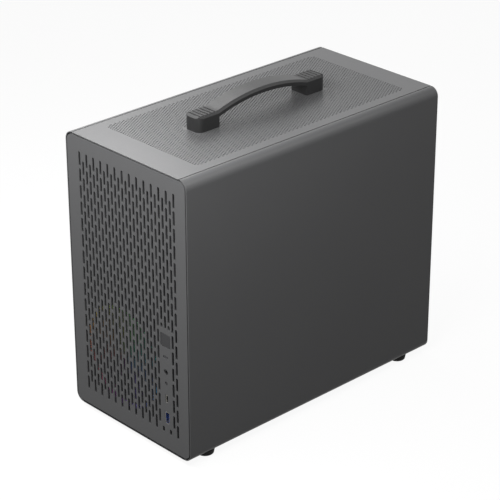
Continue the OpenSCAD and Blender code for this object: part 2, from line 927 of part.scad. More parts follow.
// The recessed rear: port opening, expansion slots with their ledge, vent and mains inlet
module rear_panel() {
  color(graphite) {
    across(rear_in, frame_t) difference() {
      frame_outline();
      translate([shield_x, base_z + shield_up]) square([shield_w, shield_h]);
      for (n = [0:slot_count - 1])
        translate([slot_open_x, slot_z(n) - slot_open_h / 2]) square([slot_open_l, slot_open_h]);
      translate([cover_x - cover_play, slots_low])
        square([ledge_x - cover_x + cover_play, slot_count * slot_step]);
      rear_vent();
      fan_hole_spots(vent_x, vent_z, rear_fan_holes) circle(fan_screw_hole);
      translate([inlet_x, inlet_z]) {
        rounded(2 * inlet_half_w, 2 * inlet_half_h, inlet_corner);
        for (s = [-1, 1]) translate([0, s * inlet_screw_up]) circle(inlet_screw_hole);
      }
    }
    along(ledge_x, frame_t) difference() {
      translate([rear_y - frame_t / 2, slots_low])
        square([tab_l + frame_t * 1.5, slot_count * slot_step]);
      for (n = [0:slot_count - 1]) translate([rear_y + tab_l / 2, slot_z(n)]) circle(tab_hole_r);
    }
  }
}

// Round holes in staggered rows inside the rear fan's circle
module rear_vent() {
  row = vent_pitch * sin(60);
  n = floor(vent_r / row);
  for (j = [-n:n], i = [-n - 1:n]) {
    x = (i + (j % 2 == 0 ? 0 : 0.5)) * vent_pitch;
    z = j * row;
    if (sqrt(x * x + z * z) < vent_r - vent_hole / 2)
      translate([vent_x + x, vent_z + z]) circle(d = vent_hole, $fn = 16);
  }
}

// One pierced slot cover with its screw tab bent outwards
module slot_cover() {
  first = slot_open_x + (slot_open_l - (cover_slots - 1) * cover_slot_step) / 2;
  color(graphite) {
    across(rear_in - frame_t, frame_t) difference() {
      translate([cover_x, -cover_h / 2]) square([cover_l, cover_h]);
      for (i = [0:cover_slots - 1]) translate([first + i * cover_slot_step, 0])
        square([cover_slot_l, cover_slot_h], center = true);
    }
    along(cover_x, frame_t) translate([rear_in - frame_t / 2, -cover_h / 2]) difference() {
      square([tab_l + frame_t * 1.5, cover_h]);
      translate([frame_t * 1.5 + tab_l / 2, cover_h / 2]) circle(tab_hole_r);
    }
  }
}

module slot_cover_1() cover_spot(0) slot_cover();
module slot_cover_2() cover_spot(1) slot_cover();
module slot_cover_3() cover_spot(2) slot_cover();
module slot_cover_4() cover_spot(3) slot_cover();

// A knurled thumbscrew along z: the head on 0, the shank down below it
module thumbscrew(shank_r, shank_l, head_r, head_h) {
  cylinder(h = head_h / 4, r = head_r);
  translate([0, 0, head_h / 4]) linear_extrude(head_h * 0.75) difference() {
    circle(head_r);
    for (a = [0:20:340]) rotate(a) translate([head_r, 0]) circle(head_r / 9, $fn = 4);
  }
  translate([0, 0, -shank_l]) cylinder(h = shank_l, r = shank_r);
}

module slot_screws() {
  color(black) for (n = [0:slot_count - 1]) cover_spot(n)
    translate([cover_x, rear_y + tab_l / 2, 0]) rotate([0, -90, 0])
      thumbscrew(tab_screw_r, 2 * frame_t + 2, 4, 4.5);
}

// The mains socket: a flange with two ears and a hollow body through the rear panel
module power_inlet() {
  color(black) translate([inlet_x, 0, inlet_z]) difference() {
    union() {
      across(rear_y, inlet_flange_t) {
        rounded(2 * (inlet_half_w + inlet_lip), 2 * inlet_half_h + inlet_lip, inlet_corner + 1);
        for (s = [-1, 1]) translate([0, s * inlet_screw_up]) circle(inlet_ear_r);
        square([2 * inlet_ear_r, 2 * inlet_screw_up], center = true);
      }
      across(rear_y - inlet_depth, inlet_depth + inlet_flange_t / 2)
        rounded(2 * (inlet_half_w - inlet_play), 2 * (inlet_half_h - inlet_play), inlet_corner);
    }
    across(rear_y - inlet_well, inlet_well + inlet_flange_t + over)
      rounded(2 * (inlet_half_w - inlet_wall), 2 * (inlet_half_h - inlet_wall), inlet_corner - 0.5);
    for (s = [-1, 1]) translate([0, 0, s * inlet_screw_up])
      round_y(rear_y - over, inlet_flange_t + 2 * over, inlet_screw_hole);
  }
}

// The three flat contacts inside the inlet
module inlet_pins() {
  color(steel) translate([inlet_x, rear_y - inlet_well, inlet_z])
    for (n = [-1, 0, 1]) translate([(n == 0 ? 1 : -1) * pin_side - pin_w / 2, 0, n * pin_step - pin_t / 2])
      cube([pin_w, pin_l, pin_t]);
}

module inlet_screws() {
  color(steel) for (s = [-1, 1])
    translate([inlet_x, rear_y + inlet_flange_t, inlet_z + s * inlet_screw_up])
      rotate([-90, 0, 0]) pan_screw(small_screw_r, inlet_flange_t + 3, small_head_r, small_head_h);
}

// Places children on the fan's axis, with z running back from the bulkhead
module on_fan() {
  translate([fan_x, bulk_back, fan_z]) rotate([-90, 0, 0]) children();
}

flange_t = 4;
fan_corner = 8;
tube_set = 0.2;
motor_t = 3;
arm_w = 4;

// Two square flanges on a round tube, with the motor's plate on four arms
module fan_frame() {
  color(black) on_fan() {
    for (z = [0, fan_d - flange_t]) translate([0, 0, z]) linear_extrude(flange_t) difference() {
      rounded(fan_w, fan_w, fan_corner);
      circle(fan_bore);
      fan_hole_spots(0, 0, fan_holes) circle(fan_screw_hole);
    }
    translate([0, 0, flange_t / 2]) linear_extrude(fan_d - flange_t) difference() {
      circle(fan_w / 2 - tube_set);
      circle(fan_bore);
    }
    translate([0, 0, fan_d - motor_t]) {
      cylinder(h = motor_t, r = hub_r);
      for (a = [45:90:315]) rotate(a) translate([hub_r - 1, -arm_w / 2, 0])
        cube([fan_bore - hub_r + 1.5, arm_w, motor_t]);
    }
    translate([0, 0, fan_d - motor_t - shaft_l]) cylinder(h = shaft_l, r = shaft_r);
  }
}

rotor_low = 3;
rotor_end_gap = 0.5;
rotor_high = fan_d - motor_t - rotor_end_gap;
hub_wall = 1.6;
hub_top = 2;
blade_root = 2;

// A hollow hub on the shaft with tilted flat blades
module fan_rotor() {
  color([0.12, 0.12, 0.13]) on_fan() {
    difference() {
      translate([0, 0, rotor_low]) cylinder(h = rotor_high - rotor_low, r = hub_r);
      translate([0, 0, rotor_low + hub_top]) difference() {
        cylinder(h = fan_d, r = hub_r - hub_wall);
        cylinder(h = fan_d, r = shaft_r + 2 * hub_wall);
      }
      translate([0, 0, rotor_high - shaft_l]) cylinder(h = fan_d, r = shaft_r + shaft_play);
    }
    intersection() {
      translate([0, 0, rotor_low + 1]) linear_extrude(rotor_high - rotor_low - 2) difference() {
        circle(blade_r);
        circle(hub_r - hub_wall / 2);
      }
      for (i = [0:blades - 1]) rotate(i * 360 / blades)
        translate([0, 0, (rotor_low + rotor_high) / 2]) rotate([90 - blade_tilt, 0, 0])
          translate([hub_r - blade_root, -fan_d, -blade_t / 2]) cube([blade_r, 2 * fan_d, blade_t]);
    }
  }
}

ring_t = 2;
ring_set = 0.4;

module light_ring() {
  color([0.9, 0.9, 0.92]) on_fan() translate([0, 0, ring_set]) linear_extrude(ring_t) difference() {
    circle(fan_bore);
    circle(fan_bore - ring_w);
  }
}

module fan_screws() {
  color(steel) translate([0, bulk_front, 0]) rotate([90, 0, 0])
    fan_hole_spots(fan_x, fan_z, fan_holes) pan_screw(fan_screw_hole - 0.2, frame_t + 6, 3.6, 2);
}

// The folded carrier behind the control board
module io_bracket() {
  low = housing_low - bracket_play;
  high = housing_high + bracket_play;
  color(graphite) along(io_x - housing_half, 2 * housing_half) {
    translate([board_y + board_t, low - frame_t]) square([frame_t, high - low + 2 * frame_t]);
    for (z = [low - frame_t, high])
      translate([bulk_back, z]) square([board_y + board_t + frame_t - bulk_back, frame_t]);
    translate([bulk_back, high]) square([frame_t, io_fold]);
    translate([bulk_back, low - io_fold]) square([frame_t, io_fold]);
  }
}

// The outline shared by the control board and its housing
module housing_outline() {
  translate([io_x - housing_half, housing_low]) square([2 * housing_half, housing_high - housing_low]);
}

module io_board() {
  color([0.05, 0.16, 0.1]) across(board_y, board_t) housing_outline();
}

// The moulded block that guides the buttons and frames the ports
module io_housing() {
  color(black) across(housing_front, board_y - housing_front) difference() {
    housing_outline();
    control_holes(control_play);
  }
}

// The inner opening of the large port's shell
module usb_a_inside() {
  square([usb_a_w - 2 * port_wall, usb_a_h - 2 * port_wall], center = true);
}

module usb_a_shell() {
  color(steel) translate([io_x, 0, base_z + usb_a_z]) across(port_front, port_l) difference() {
    square([usb_a_w, usb_a_h], center = true);
    usb_a_inside();
  }
}

usb_a_tongue_t = 1.9;
usb_a_tongue_set = 1.6;
usb_a_tongue_side = 0.4;
usb_a_tongue_play = 1;

module usb_a_tongue() {
  h = usb_a_h - 2 * usb_a_tongue_play;
  color([0.1, 0.25, 0.7]) translate([io_x, 0, base_z + usb_a_z]) {
    across(port_front + usb_a_tongue_set, port_l - usb_a_tongue_set)
      translate([usb_a_tongue_side, -h / 2]) square([usb_a_tongue_t, h]);
    across(board_y - port_floor, port_floor) usb_a_inside();
  }
}

module usb_c_shell() {
  color(steel) translate([io_x, 0, base_z + usb_c_z]) across(port_front, port_l) difference() {
    oval_port(0);
    oval_port(-port_wall);
  }
}

usb_c_tongue_t = 0.7;
usb_c_tongue_set = 1.2;
usb_c_tongue_play = 1.3;

module usb_c_tongue() {
  color(black) translate([io_x, 0, base_z + usb_c_z]) {
    across(port_front + usb_c_tongue_set, port_l - usb_c_tongue_set)
      square([usb_c_tongue_t, usb_c_h - 2 * usb_c_tongue_play], center = true);
    across(board_y - port_floor, port_floor) oval_port(-port_wall);
  }
}

jack_depth = 13;

module audio_jack() {
  color(black) translate([io_x, 0, base_z + jack_z]) difference() {
    round_y(port_front, port_l, jack_r);
    round_y(port_front - over, jack_depth + over - port_set, jack_bore_r);
  }
}

module status_light() {
  color([0.85, 0.87, 0.9]) across(port_front, port_l)
    translate([io_x, base_z + light_z]) square([light_w, light_h], center = true);
}

// The square cap on its stem, which ends short of the board by the travel
module power_button() {
  stem_y = button_front + button_t;
  color(graphite) translate([io_x, 0, base_z + power_z]) {
    across(button_front, button_t) rounded(power_w, power_w, power_corner);
    round_y(stem_y, board_y - power_travel - stem_play - stem_y, stem_r);
  }
}

module reset_button() {
  color(black) translate([io_x, 0, base_z + reset_z])
    round_y(button_front, board_y - reset_travel - stem_play - button_front, reset_r);
}

// The strap's section with bevelled upper edges, drawn from its lower face
module strap_section() {
  polygon([
    [-handle_w / 2, 0], [handle_w / 2, 0], [handle_w / 2, strap_t - handle_bevel],
    [handle_w / 2 - handle_bevel, strap_t], [-handle_w / 2 + handle_bevel, strap_t],
    [-handle_w / 2, strap_t - handle_bevel]
  ]);
}

// The plan of one leg: flat inside, rounded at its outer corners
module leg_plan() {
  translate([0, -leg_l / 2]) {
    translate([-handle_w / 2, leg_corner]) square([handle_w, leg_l - leg_corner]);
    translate([-handle_w / 2 + leg_corner, 0]) square([handle_w - 2 * leg_corner, leg_corner]);
    for (x = [-1, 1]) translate([x * (handle_w / 2 - leg_corner), leg_corner]) circle(leg_corner);
  }
}

// A leg before its grooves are cut, bevelled along its sides and its outer end
module leg() {
  translate([0, -leg_mid, top_z]) intersection() {
    linear_extrude(leg_h) leg_plan();
    translate([0, -leg_l / 2 - 1, 0]) rotate([-90, 0, 0]) linear_extrude(leg_l + 2) polygon([
      [-handle_w / 2, 0], [handle_w / 2, 0], [handle_w / 2, handle_bevel - leg_h],
      [handle_w / 2 - handle_bevel, -leg_h], [-handle_w / 2 + handle_bevel, -leg_h],
      [-handle_w / 2, handle_bevel - leg_h]
    ]);
    translate([-handle_w / 2, 0, 0]) rotate([90, 0, 90]) linear_extrude(handle_w) polygon([
      [-leg_l / 2, 0], [leg_l / 2, 0], [leg_l / 2, leg_h], [-leg_l / 2 + handle_bevel, leg_h],
      [-leg_l / 2, leg_h - handle_bevel]
    ]);
  }
}

// The grip grooves and screw holes of one leg
module leg_cuts() {
  translate([0, -leg_mid, top_z]) {
    for (i = [0:grooves - 1])
      translate([-handle_w, -leg_l / 2 + groove_start + i * groove_pitch, leg_h - groove_d])
        cube([2 * handle_w, groove_w, groove_d + over]);
    for (x = [-1, 1]) translate([x * handle_w / 4, 0, -over])
      cylinder(h = handle_hole_l + over, r = handle_screw_r);
  }
}

// One moulding: two ribbed legs joined by the arched strap, which runs on inside them
module handle() {
  color(black) difference() {
    union() {
      leg();
      mirror([0, 1, 0]) leg();
      translate([0, 0, top_z + arch_h - arch_r]) rotate([0, -90, 0]) rotate([0, 0, -strap_angle])
        rotate_extrude(angle = 2 * strap_angle, $fn = 180) rotate(-90) translate([0, arch_r - strap_t])
          strap_section();
    }
    leg_cuts();
    mirror([0, 1, 0]) leg_cuts();
  }
}

// Steel plates that spread the handle's load under the top
module handle_plates() {
  color(steel) level(inner_top - backing_t, backing_t) difference() {
    for (s = [-1, 1]) translate([0, s * leg_mid])
      rounded(handle_w + 2 * plate_rim, leg_l, plate_corner);
    handle_screw_spots() circle(handle_screw_r + screw_play);
  }
}

module handle_screws() {
  color(steel) translate([0, 0, inner_top - backing_t]) mirror([0, 0, 1]) handle_screw_spots()
    pan_screw(handle_screw_r, backing_t + skin_t + screw_reach, handle_head_r, handle_head_h);
}

// A rubber foot with a pocket for its screw's head
module foot(x, y) {
  color(black) translate([x * (side_x - foot_side), y * (end_y - foot_end), 0])
    rotate_extrude() polygon([
      [foot_cup_r, 0], [foot_r - foot_chamfer, 0], [foot_r, foot_chamfer],
      [foot_top_r, base_z - foot_rim], [foot_top_r, base_z], [foot_screw_r, base_z],
      [foot_screw_r, foot_seat], [foot_cup_r, foot_seat]
    ]);
}

module foot_front_left() foot(-1, -1);
module foot_front_right() foot(1, -1);
module foot_rear_left() foot(-1, 1);
module foot_rear_right() foot(1, 1);

module foot_screws() {
  color(steel) translate([0, 0, foot_seat]) mirror([0, 0, 1]) foot_spots()
    pan_screw(foot_screw_r, base_z - foot_seat + skin_t, foot_cup_r - foot_head_play, foot_head_h);
}

// Two folded runners under the base that carry the filter's edges
module filter_runners() {
  color(graphite) for (s = [0, 1]) mirror([s, 0, 0])
    translate([filter_w / 2 + filter_gap, -filter_l / 2, runner_low]) {
      cube([runner_wall, filter_l, base_z - runner_low]);
      translate([-runner_lip, 0, 0]) cube([runner_lip + over, filter_l, runner_foot]);
    }
}

// The framed mesh that slides out to the rear
module bottom_filter() {
  color(black) {
    level(filter_top - filter_t, filter_t) difference() {
      square([filter_w, filter_l], center = true);
      grid(-filter_w / 2 + filter_rim, filter_w / 2 - filter_rim, -filter_l / 2 + filter_rim,
        filter_l / 2 - filter_rim, bottom_cols, bottom_rows, filter_bar);
    }
    translate([-filter_tab_w / 2, filter_l / 2 - over, filter_top - filter_t])
      cube([filter_tab_w, filter_tab_l + over, filter_t]);
  }
}

left_panel();
right_panel();
top_panel();
base_plate();
front_panel();
front_filter();
front_bulkhead();
rear_panel();
top_rail_left();
top_rail_right();
board_tray();
standoffs();
tray_grommets();
psu_bracket();
drive_bracket();
bracket_screws();
slot_cover_1();
slot_cover_2();
slot_cover_3();
slot_cover_4();
slot_screws();
power_inlet();
inlet_pins();
inlet_screws();
fan_frame();
fan_rotor();
light_ring();
fan_screws();
io_bracket();
io_board();
io_housing();
usb_a_shell();
usb_a_tongue();
usb_c_shell();
usb_c_tongue();
audio_jack();
status_light();
power_button();
reset_button();
handle();
handle_plates();
handle_screws();
foot_front_left();
foot_front_right();
foot_rear_left();
foot_rear_right();
foot_screws();
filter_runners();
bottom_filter();
left_studs();
right_studs();
side_sockets();
front_studs();
front_sockets();
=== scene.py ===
import math

import bmesh
import bpy
from mathutils import Matrix, Vector


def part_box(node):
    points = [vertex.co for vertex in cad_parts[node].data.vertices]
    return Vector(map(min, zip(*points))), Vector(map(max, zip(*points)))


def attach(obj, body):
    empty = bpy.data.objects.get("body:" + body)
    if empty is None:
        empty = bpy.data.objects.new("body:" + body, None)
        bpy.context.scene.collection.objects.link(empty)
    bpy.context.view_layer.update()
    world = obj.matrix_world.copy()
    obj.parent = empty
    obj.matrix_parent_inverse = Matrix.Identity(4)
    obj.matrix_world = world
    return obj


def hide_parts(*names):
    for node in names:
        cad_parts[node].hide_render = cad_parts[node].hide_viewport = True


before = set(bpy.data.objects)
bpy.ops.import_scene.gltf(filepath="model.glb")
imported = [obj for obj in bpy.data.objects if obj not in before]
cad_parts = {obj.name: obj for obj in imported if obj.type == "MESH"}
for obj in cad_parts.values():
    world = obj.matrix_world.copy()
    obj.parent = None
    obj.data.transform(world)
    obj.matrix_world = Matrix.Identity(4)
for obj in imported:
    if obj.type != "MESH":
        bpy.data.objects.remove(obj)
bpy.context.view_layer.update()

# Where the photograph was taken from: a long lens, above the near corner of the case, a little
# nearer its right side than its front. It comes first, because every size below was read
# through it.

camera_azimuth, camera_elevation, camera_roll = map(math.radians, (46.749, 25.981, -0.111))
camera_place = (1.39379, -1.32068, 1.09439)
camera_back = Vector((
    math.sin(camera_azimuth) * math.cos(camera_elevation),
    -math.cos(camera_azimuth) * math.cos(camera_elevation),
    math.sin(camera_elevation),
))
camera_right = Vector((0, 0, 1)).cross(camera_back).normalized()
camera_turn = Matrix((camera_right, camera_back.cross(camera_right), camera_back)).transposed()
camera = bpy.data.objects.new("photo_camera", bpy.data.cameras.new("photo_camera"))
camera.data.lens, camera.data.sensor_width = 141.93, 36
camera.data.clip_start, camera.data.clip_end = 0.1, 20
camera.matrix_world = (
    Matrix.Translation(camera_place) @ camera_turn.to_4x4() @ Matrix.Rotation(camera_roll, 4, "Z")
)
bpy.context.collection.objects.link(camera)
bpy.context.scene.camera = camera

# The folded steel frame that everything is screwed or riveted to: base, top rails, bulkhead,
# rear panel, motherboard tray and brackets. Sheet steel, powder coated a shade darker than the
# shell, with the fine pebble of the powder and a softer, larger waviness under it.


class Value:
    """One socket of a finish. Arithmetic on it adds the Math nodes."""

    def __init__(self, finish, socket):
        self.finish, self.socket = finish, socket

    def math(self, operation, *values):
        return self.finish.node(
            "ShaderNodeMath", {"operation": operation}, dict(enumerate(values))
        )

    def __add__(self, other):
        return self.math("ADD", self, other)

    def __sub__(self, other):
        return self.math("SUBTRACT", self, other)

    def __rsub__(self, other):
        return self.math("SUBTRACT", other, self)

    def __mul__(self, other):
        return self.math("MULTIPLY", self, other)

    def __truediv__(self, other):
        return self.math("DIVIDE", self, other)

    __radd__, __rmul__ = __add__, __mul__

    def larger(self, other):
        return self.math("MAXIMUM", self, other)

    def over(self, limit, soft):
        """1 where the value is above the limit and 0 below it, with a soft edge"""
        return self.finish.node(
            "ShaderNodeMapRange", {"interpolation_type": "SMOOTHSTEP"},
            {0: self, 1: limit - soft, 2: limit + soft, 3: 0.0, 4: 1.0},
        )


class Finish:
    """A material: its nodes, its shader, and the place on the object that its patterns read."""

    def __init__(self, name, **constants):
        self.material = bpy.data.materials.new(name)
        self.material.use_nodes = True
        self.tree = self.material.node_tree
        self.shader = self.tree.nodes["Principled BSDF"]
        self.set(**constants)
        self.place = self.node("ShaderNodeTexCoord", out="Object")

    def node(self, kind, settings=None, values=None, out=0):
        made = self.tree.nodes.new(kind)
        for setting, choice in (settings or {}).items():
            setattr(made, setting, choice)
        for name, value in (values or {}).items():
            self.put(made.inputs[name], value)
        return Value(self, made.outputs[out])

    def put(self, socket, value):
        if isinstance(value, Value):
            self.tree.links.new(value.socket, socket)
        elif hasattr(socket.default_value, "__len__") and len(socket.default_value) == 4:
            socket.default_value = (*value, 1)[:4]
        else:
            socket.default_value = value

    def set(self, **values):
        for name, value in values.items():
            self.put(self.shader.inputs[name.replace("_", " ")], value)

    def noise(self, size, detail=2.0, rough=0.5, place=None):
        """Cloudy noise from 0 to 1 whose blotches are about size metres across"""
        return self.node(
            "ShaderNodeTexNoise", {},
            {
                "Vector": place or self.place, "Scale": 1 / size,
                "Detail": detail, "Roughness": rough,
            },
        )

    def stretched(self, x, y, z):
        """The place with each direction scaled, for grain that runs one way"""
        return self.node("ShaderNodeMapping", {}, {"Vector": self.place, "Scale": (x, y, z)})

    def along(self):
        """The three coordinates of the place, apart"""
        split = self.tree.nodes.new("ShaderNodeSeparateXYZ")
        self.tree.links.new(self.place.socket, split.inputs[0])
        return [Value(self, split.outputs[i]) for i in range(3)]

    def mix(self, share, a, b):
        """Colour a, turning to colour b as share goes from 0 to 1"""
        return self.node(
            "ShaderNodeMix", {"data_type": "RGBA"}, {0: share, 6: a, 7: b}, out=2
        )

    def bump(self, height, depth):
        """Relief of depth metres where height goes from 0 to 1"""
        self.set(Normal=self.node(
            "ShaderNodeBump", {}, {"Height": height, "Distance": depth, "Strength": 1.0}
        ))


def shade(colour, share):
    return tuple(channel * share for channel in colour)


def dress(finish, *names):
    """Gives CAD nodes a finish"""
    for name in names:
        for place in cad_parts[name].material_slots:
            place.material = finish.material


def powder_coat(name, colour, gloss, pebble, sheen=0.12):
    coat = Finish(name, Specular_IOR_Level=sheen)
    waves, grit = coat.noise(0.0022, 2, 0.45), coat.noise(0.00055, 2, 0.6)
    cloud = coat.noise(0.11, 3)
    coat.set(
        Base_Color=coat.mix(cloud * 0.7 + grit * 0.3, shade(colour, 0.93), shade(colour, 1.07)),
        Roughness=grit * 0.10 + cloud * 0.05 + (gloss - 0.075),
    )
    coat.bump(waves * 0.55 + grit * 0.45, pebble)
    return coat


frame_coat = powder_coat("frame powder coat", (0.040, 0.040, 0.042), 0.52, 0.00004)
dress(
    frame_coat, "base_plate", "front_bulkhead", "rear_panel", "top_rail_left", "top_rail_right",
    "board_tray", "psu_bracket", "drive_bracket", "io_bracket", "slot_cover_1", "slot_cover_2",
    "slot_cover_3", "slot_cover_4",
)

# Pan head and panel screws, ball studs and backing plates: cold formed and zinc plated, with the
# faint drawing lines and the cloudy, slightly yellow bloom of the plating.

zinc = Finish("zinc plated steel", Metallic=1.0)
bloom, lines = zinc.noise(0.004, 3), zinc.noise(0.0004, 2, place=zinc.stretched(1, 1, 0.12))
zinc.set(
    Base_Color=zinc.mix(bloom, (0.52, 0.53, 0.55), (0.60, 0.58, 0.52)),
    Roughness=bloom * 0.12 + lines * 0.10 + 0.22,
)
zinc.bump(lines, 0.00001)
dress(
    zinc, "bracket_screws", "inlet_screws", "fan_screws", "handle_plates", "handle_screws",
    "foot_screws", "left_studs", "right_studs", "front_studs",
)

blackened = Finish("blackened steel", Metallic=0.85)
smut = blackened.noise(0.002, 3)
blackened.set(
    Base_Color=blackened.mix(smut, (0.028, 0.028, 0.030), (0.050, 0.048, 0.048)),
    Roughness=smut * 0.2 + 0.32,
)
dress(blackened, "slot_screws")

# Turned brass standoffs for the motherboard, with the tool's fine rings, and moulded rubber
# grommets that line the cable cut-outs of the tray.

brass = Finish("turned brass", Metallic=1.0)
rings = brass.noise(0.0003, 1, place=brass.stretched(1, 0.05, 0.05))
brass.set(
    Base_Color=brass.mix(brass.noise(0.003), (0.72, 0.52, 0.22), (0.78, 0.60, 0.30)),
    Roughness=rings * 0.18 + 0.20,
)
brass.bump(rings, 0.000008)
dress(brass, "standoffs")

rubber = Finish("black rubber", Specular_IOR_Level=0.3)
dust = rubber.noise(0.006, 4, 0.65)
rubber.set(
    Base_Color=rubber.mix(dust, (0.014, 0.014, 0.014), (0.026, 0.025, 0.024)),
    Roughness=dust * 0.12 + 0.66,
)
rubber.bump(rubber.noise(0.0005, 3), 0.00003)
dress(rubber, "tray_grommets")

# Injection moulded parts: the fan's frame and rotor, the mains inlet, the housing of the front
# controls, the filter's runners and snap sockets. Spark eroded, so with a fine even grain.


def moulding(name, colour, gloss, grain):
    plastic = Finish(name, Specular_IOR_Level=0.45)
    erosion, flow = plastic.noise(0.00035, 3, 0.6), plastic.noise(0.03, 2)
    plastic.set(
        Base_Color=plastic.mix(flow, shade(colour, 0.9), shade(colour, 1.15)),
        Roughness=erosion * 0.14 + flow * 0.06 + (gloss - 0.1),
    )
    plastic.bump(erosion, grain)
    return plastic


black_moulding = moulding("black moulding", (0.018, 0.018, 0.019), 0.46, 0.00002)
dress(
    black_moulding, "power_inlet", "fan_frame", "io_housing", "usb_c_tongue",
    "audio_jack", "side_sockets", "front_sockets", "filter_runners", "reset_button",
)

# The blades inside the mains inlet and the shells of the two ports: stamped, and plated with
# bright nickel that has a faint warm haze.

nickel = Finish("nickel plate", Metallic=1.0)
haze = nickel.noise(0.002, 2)
nickel.set(
    Base_Color=nickel.mix(haze, (0.62, 0.60, 0.55), (0.70, 0.68, 0.63)),
    Roughness=haze * 0.1 + 0.2,
)
dress(nickel, "inlet_pins", "usb_a_shell", "usb_c_shell")

# The fan at the front: a milky diffuser ring that glows with a chain of small lamps whose colours
# run once round the circle, and smoky translucent blades with a painted glow in those colours,
# set as emission. Screwed to the bulkhead, it shows only as a faint tint behind the slots.

fan_low, fan_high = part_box("fan_frame")
fan_centre = (fan_low + fan_high) / 2
wheel_hues = (
    (0.00, (1.0, 0.25, 0.03)), (0.12, (1.0, 0.05, 0.20)), (0.25, (0.45, 0.10, 1.0)),
    (0.38, (0.10, 0.30, 1.0)), (0.50, (0.02, 0.70, 1.0)), (0.62, (0.05, 1.0, 0.55)),
    (0.75, (0.35, 1.0, 0.10)), (0.88, (1.0, 0.75, 0.03)), (1.00, (1.0, 0.25, 0.03)),
)


def colour_wheel(finish):
    """The lamps' colour by the angle about the fan's middle"""
    x, _, z = finish.along()
    turn = finish.node(
        "ShaderNodeMath", {"operation": "ARCTAN2"}, {0: z - fan_centre.z, 1: x - fan_centre.x}
    ) / (2 * math.pi) + 0.5
    hues = finish.tree.nodes.new("ShaderNodeValToRGB")
    stops = hues.color_ramp.elements
    for place, hue in wheel_hues[1:-1]:
        stops.new(place).color = (*hue, 1)
    stops[0].color, stops[-1].color = (*wheel_hues[0][1], 1), (*wheel_hues[-1][1], 1)
    finish.tree.links.new(turn.socket, hues.inputs[0])
    return Value(finish, hues.outputs[0])


ring = Finish("lit diffuser", Roughness=0.4, Emission_Strength=0.9)
ring.set(
    Base_Color=ring.mix(ring.noise(0.004), (0.55, 0.55, 0.56), (0.65, 0.65, 0.66)),
    Emission_Color=colour_wheel(ring),
)
dress(ring, "light_ring")

# The blades' emission is painted glow: the ring's colours by angle, in place of its light shining
# through them.
blades = Finish("smoky blades", Roughness=0.3, Specular_IOR_Level=0.5, Emission_Strength=0.30)
blades.set(
    Base_Color=blades.mix(blades.noise(0.01), (0.020, 0.020, 0.021), (0.030, 0.030, 0.031)),
    Emission_Color=colour_wheel(blades),
)
dress(blades, "fan_rotor")

# A small printed circuit board on a steel bracket carries the ports and switches behind the
# front strip. Green solder mask over copper tracks, seen only from inside.

board = Finish("solder mask", Roughness=0.35, Specular_IOR_Level=0.5)
tracks = (board.node(
    "ShaderNodeTexWave", {"bands_direction": "DIAGONAL"},
    {"Vector": board.place, "Scale": 160.0, "Distortion": 6.0, "Detail": 1.0},
    out="Fac",
)).over(0.62, 0.05)
board.set(Base_Color=board.mix(tracks, (0.006, 0.05, 0.022), (0.012, 0.11, 0.05)))
board.bump(tracks, 0.00003)
dress(board, "io_board")

contact_blue = moulding("blue contact carrier", (0.020, 0.085, 0.50), 0.38, 0.00001)
dress(contact_blue, "usb_a_tongue")

# Two side panels of 1.2 mm steel, each bent over at its top and bottom to a rounded edge, satin
# powder coated in a dark, faintly cool grey. They pull off their ball studs. The cut edges are
# broken by the deburring drum.

shell_grey = (0.100, 0.1005, 0.1025)
shell_coat = powder_coat("shell powder coat", shell_grey, 0.34, 0.00003, sheen=0.30)


def joined(node):
    """A copy of a CAD node's mesh, its loose triangles joined into whole faces"""
    bm = bmesh.new()
    bm.from_mesh(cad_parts[node].data)
    bmesh.ops.remove_doubles(bm, verts=bm.verts, dist=0.000002)
    bmesh.ops.dissolve_limit(bm, angle_limit=math.radians(0.5), verts=bm.verts, edges=bm.edges)
    return bm


def break_edges(bm, radius, segments=2, chosen=lambda place: True):
    """Rounds the sharp edges whose middles are chosen"""
    sharp = [
        edge for edge in bm.edges
        if edge.is_manifold and edge.calc_face_angle() > math.radians(38)
        and chosen((edge.verts[0].co + edge.verts[1].co) / 2)
    ]
    bmesh.ops.bevel(
        bm, geom=sharp, offset=radius, offset_type="OFFSET", affect="EDGES", segments=segments,
        profile=0.5, clamp_overlap=True, material=-1,
    )


def smooth_curves(bm):
    """Shades bends and broken edges smooth and leaves every flat face flat"""
    for face in bm.faces:
        face.smooth = True
    for edge in bm.edges:
        edge.smooth = False
        if edge.is_manifold and edge.calc_face_angle() < math.radians(33):
            small, large = sorted(face.calc_area() for face in edge.link_faces)
            edge.smooth = large < 0.00003 or large < 12 * small


def make(name, bm, finish, slot, body, *nodes):
    """Puts a finished mesh on its body, in place of the CAD nodes that it stands for"""
    smooth_curves(bm)
    made = bpy.data.objects.new(name, bpy.data.meshes.new(name))
    bm.to_mesh(made.data)
    bm.free()
    made.data.materials.append(finish.material)
    bpy.context.collection.objects.link(made)
    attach(made, body)
    if nodes:
        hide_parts(*nodes)
    return made


shell_edge = 0.00035
for side in ("left", "right"):
    panel = joined(f"{side}_panel")
    break_edges(panel, shell_edge)
    make(f"{side}_side_shell", panel, shell_coat, "shell_paint", f"{side}_panel", f"{side}_panel")

# The top is a flat steel plate between the two rounded side edges, riveted to the rails, with a
# field of fine round holes for the air of the power supply. The same powder coat lies over the
# punched holes. No holes are punched under the handle.

top_low, top_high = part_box("top_panel")
plate_play, plate_edge = 0.0003, 0.00015
hole_pitch, hole_r = 0.0033, 0.0010
field_x, field_front, field_back, field_corner = 0.070, -0.148, 0.154, 0.008
leg_middle, leg_half_l, leg_half_w = 0.077, 0.0148, 0.0125
handle_screw_x, handle_screw_hole_r = 0.005875, 0.0023

